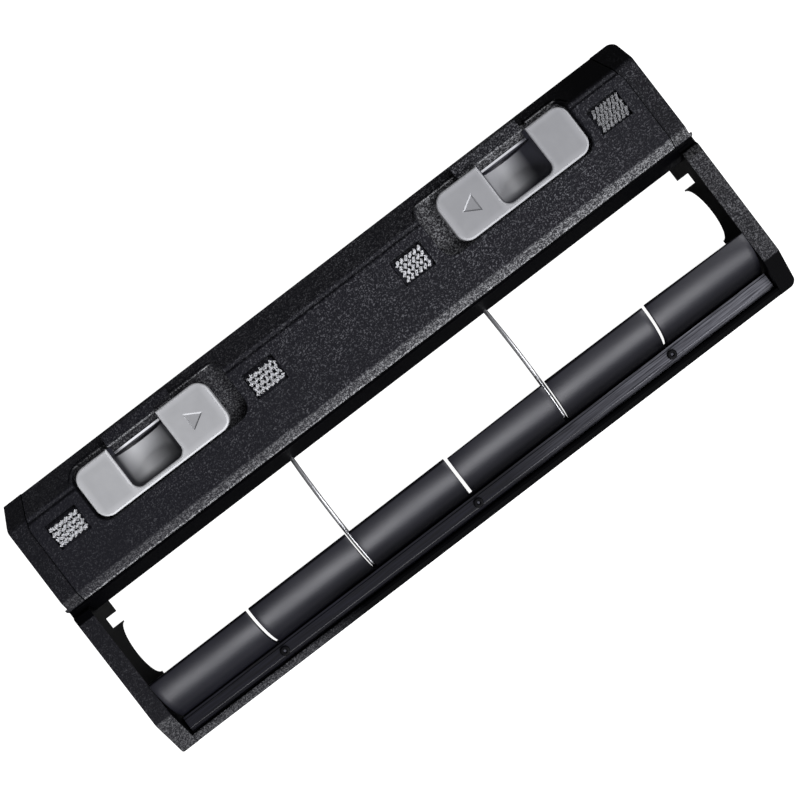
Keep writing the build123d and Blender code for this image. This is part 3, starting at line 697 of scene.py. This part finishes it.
def scraper():
    """The rubber strip: a curved sheet parted into six flaps, each a little different from the next."""
    low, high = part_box("scraper_strip")
    wire_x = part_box("guard_wire_right")[0].x + 0.5 * MM
    slits = (
        (-SLIT_X, NARROW_SLIT),
        (-wire_x, WIDE_SLIT),
        (0.0, NARROW_SLIT),
        (wire_x, WIDE_SLIT),
        (SLIT_X, NARROW_SLIT),
    )
    edges = [low.x] + [x + side * half for x, half in slits for side in (-1, 1)] + [high.x]
    flaps = list(zip(edges[::2], edges[1::2]))
    chance = random.Random(5)
    lifts = [(chance.uniform(-0.3, 0.3) * MM, chance.uniform(-0.3, 0.3) * MM) for _ in flaps]

    profile = scraper_profile(low.z + SCRAPER_T / 2)
    mesh = Mesh()
    for (left, right), (lift_left, lift_right) in zip(flaps, lifts):
        for step in range(FLAP_STEPS + 1):
            across = step / FLAP_STEPS
            x = left + (right - left) * across
            for y, z, share in profile:
                free = (1 - share) ** 2
                lift = (lift_left * (1 - across) + lift_right * across) * free
                ripple = noise.noise(Vector((x / (22 * MM), share * 1.5, 3.0))) * 0.22 * MM * (1 - share)
                droop = 0.25 * MM * free * (2 * across - 1) ** 6  # at the flap's corners
                mesh.points.append((x, y + lift, z + ripple - droop))
    rows, columns = len(profile), len(flaps) * (FLAP_STEPS + 1)
    for column in range(columns - 1):
        at_slit = column % (FLAP_STEPS + 1) == FLAP_STEPS
        for row in range(ARC_STEPS if at_slit else 0, rows - 1):
            a = column * rows + row
            mesh.faces.append((a, a + 1, a + rows + 1, a + rows))
    strip = mesh.piece("scraper_flaps", rubber, "scraper", "scraper_strip")
    solid = strip.modifiers.new("thickness", "SOLIDIFY")
    solid.thickness = SCRAPER_T
    solid.offset = 0
    bevel = strip.modifiers.new("soften", "BEVEL")
    bevel.width = 0.18 * MM
    bevel.segments = 2
    bevel.limit_method = "ANGLE"
    bevel.angle_limit = math.radians(40)


# ---------------------------------------------------------------- springs and rivets
SPRING_WIRE_R = 0.22 * MM
SPRING_TURNS = 8


def coil_share(turn, closed):
    """How far along the spring a turn is, 0 to 1, where each closed end turn takes a share of closed."""
    if turn < 1:
        return closed * turn
    if turn > SPRING_TURNS - 1:
        return 1 - closed * (SPRING_TURNS - turn)
    return closed + (1 - 2 * closed) * (turn - 1) / (SPRING_TURNS - 2)


def spring(side_name):
    """A compression spring with closed ends."""
    node_name = f"latch_spring_{side_name}"
    low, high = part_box(node_name)
    middle = (low + high) / 2
    coil_r = (high.z - low.z) / 2 - SPRING_WIRE_R
    length = high.x - low.x - 2 * SPRING_WIRE_R
    closed = 2.2 * SPRING_WIRE_R / length
    per_turn = 28
    along = Vector((1, 0, 0))
    rings = []
    for step in range(SPRING_TURNS * per_turn + 1):
        turn = step / per_turn
        angle = turn * math.tau
        outward = Vector((0, math.cos(angle), math.sin(angle)))
        centre = Vector((low.x + SPRING_WIRE_R + coil_share(turn, closed) * length, middle.y, middle.z))
        rings.append(circle(centre + outward * coil_r, outward * SPRING_WIRE_R, along * SPRING_WIRE_R, 8))
    mesh = Mesh()
    mesh.rings(rings)
    piece = mesh.piece(f"coil_spring_{side_name}", wire_steel, "spring", node_name)
    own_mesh(piece)


def rivets():
    """Turned rivets, each with a dimple in its head."""
    low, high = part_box("retainer_rivets")
    head_r, shank_r, head_t = 1.35 * MM, 1.05 * MM, 0.5 * MM
    profile = [  # radius and height, from the dimple down to the closed head
        (0.01 * MM, high.z - 0.3 * MM), (0.35 * MM, high.z - 0.28 * MM), (0.6 * MM, high.z - 0.02 * MM),
        (0.75 * MM, high.z), (1.05 * MM, high.z - 0.02 * MM), (1.25 * MM, high.z - 0.14 * MM),
        (head_r, high.z - 0.3 * MM), (head_r, high.z - head_t), (shank_r, high.z - head_t),
        (shank_r, low.z + head_t), (head_r, low.z + head_t), (head_r, low.z + 0.15 * MM),
        (1.2 * MM, low.z), (0.01 * MM, low.z),
    ]
    mesh = Mesh()
    for x in (low.x + head_r, 0.0, high.x - head_r):
        middle = Vector((x, (low.y + high.y) / 2, 0))
        rings = [level_circle(middle + Vector((0, 0, z)), radius, 32) for radius, z in reversed(profile)]
        mesh.rings(rings)
    piece = mesh.piece("turned_rivets", rivet_plastic, "rivet", "retainer_rivets")
    piece.data.set_sharp_from_angle(angle=math.radians(35))


for number, pad in enumerate(PADS, start=1):
    pile(number, *pad)
    pile_tape(number)
scraper()
spring("left")
spring("right")
rivets()


# ---------------------------------------------------------------- stage, light and camera
CAMERA_REACH = 0.320  # from the floor face to the camera
CAMERA_Y = -0.875 * MM
CAMERA_ROLL = -37.45
LENS = 56.3


def floor():
    """A white floor just under the end walls' feet."""
    half = 3.0
    mesh = bpy.data.meshes.new("floor")
    corners = [(-half, -half, 0), (half, -half, 0), (half, half, 0), (-half, half, 0)]
    mesh.from_pydata(corners, [], [(0, 1, 2, 3)])
    piece = bpy.data.objects.new("floor", mesh)
    piece.location.z = -0.3 * MM
    bpy.context.collection.objects.link(piece)
    shader = Shader("pale_floor", Roughness=0.9)
    paper = shader.noise(4 * MM, 3.0)
    shader.feed("Base Color", shader.mix(paper, (0.32, 0.32, 0.32), (0.36, 0.36, 0.36)))
    # glows for the camera alone, so the floor is white without lighting the cover from below
    shader.surface.inputs["Emission Color"].default_value = (1, 1, 1, 1)
    shader.feed("Emission Strength", shader.add("ShaderNodeLightPath").outputs["Is Camera Ray"])
    mesh.materials.append(shader.material)


def soft_box(name, direction, distance, size, power):
    """A rectangular area light that looks at the cover from direction."""
    light = bpy.data.lights.new(name, "AREA")
    light.shape = "RECTANGLE"
    light.size, light.size_y = size
    light.energy = power
    lamp = bpy.data.objects.new(name, light)
    lamp.location = Vector(direction).normalized() * distance
    lamp.rotation_euler = lamp.location.to_track_quat("Z", "Y").to_euler()
    bpy.context.collection.objects.link(lamp)


def world_light(level):
    """Even white light from all round."""
    world = bpy.data.worlds.new("studio")
    world.use_nodes = True
    background = world.node_tree.nodes["Background"]
    background.inputs["Color"].default_value = (1, 1, 1, 1)
    background.inputs["Strength"].default_value = level
    bpy.context.scene.world = world


def camera():
    """Looks straight down at the floor face, turned so that the cover lies across the picture."""
    data = bpy.data.cameras.new("camera")
    data.sensor_width = 36.0
    data.lens = LENS
    data.clip_start = 0.01
    eye = bpy.data.objects.new("camera", data)
    eye.location = (0, CAMERA_Y, FACE_Z + CAMERA_REACH)
    eye.rotation_euler = (0, 0, math.radians(CAMERA_ROLL))
    bpy.context.collection.objects.link(eye)
    bpy.context.scene.camera = eye


floor()
world_light(0.15)
soft_box("key", (0.0, -0.74, 0.67), 0.9, (0.9, 0.38), 10)
soft_box("side", (0.62, -0.1, 0.78), 1.4, (0.6, 0.6), 8)
camera()
bpy.context.scene.view_settings.view_transform = "Standard"
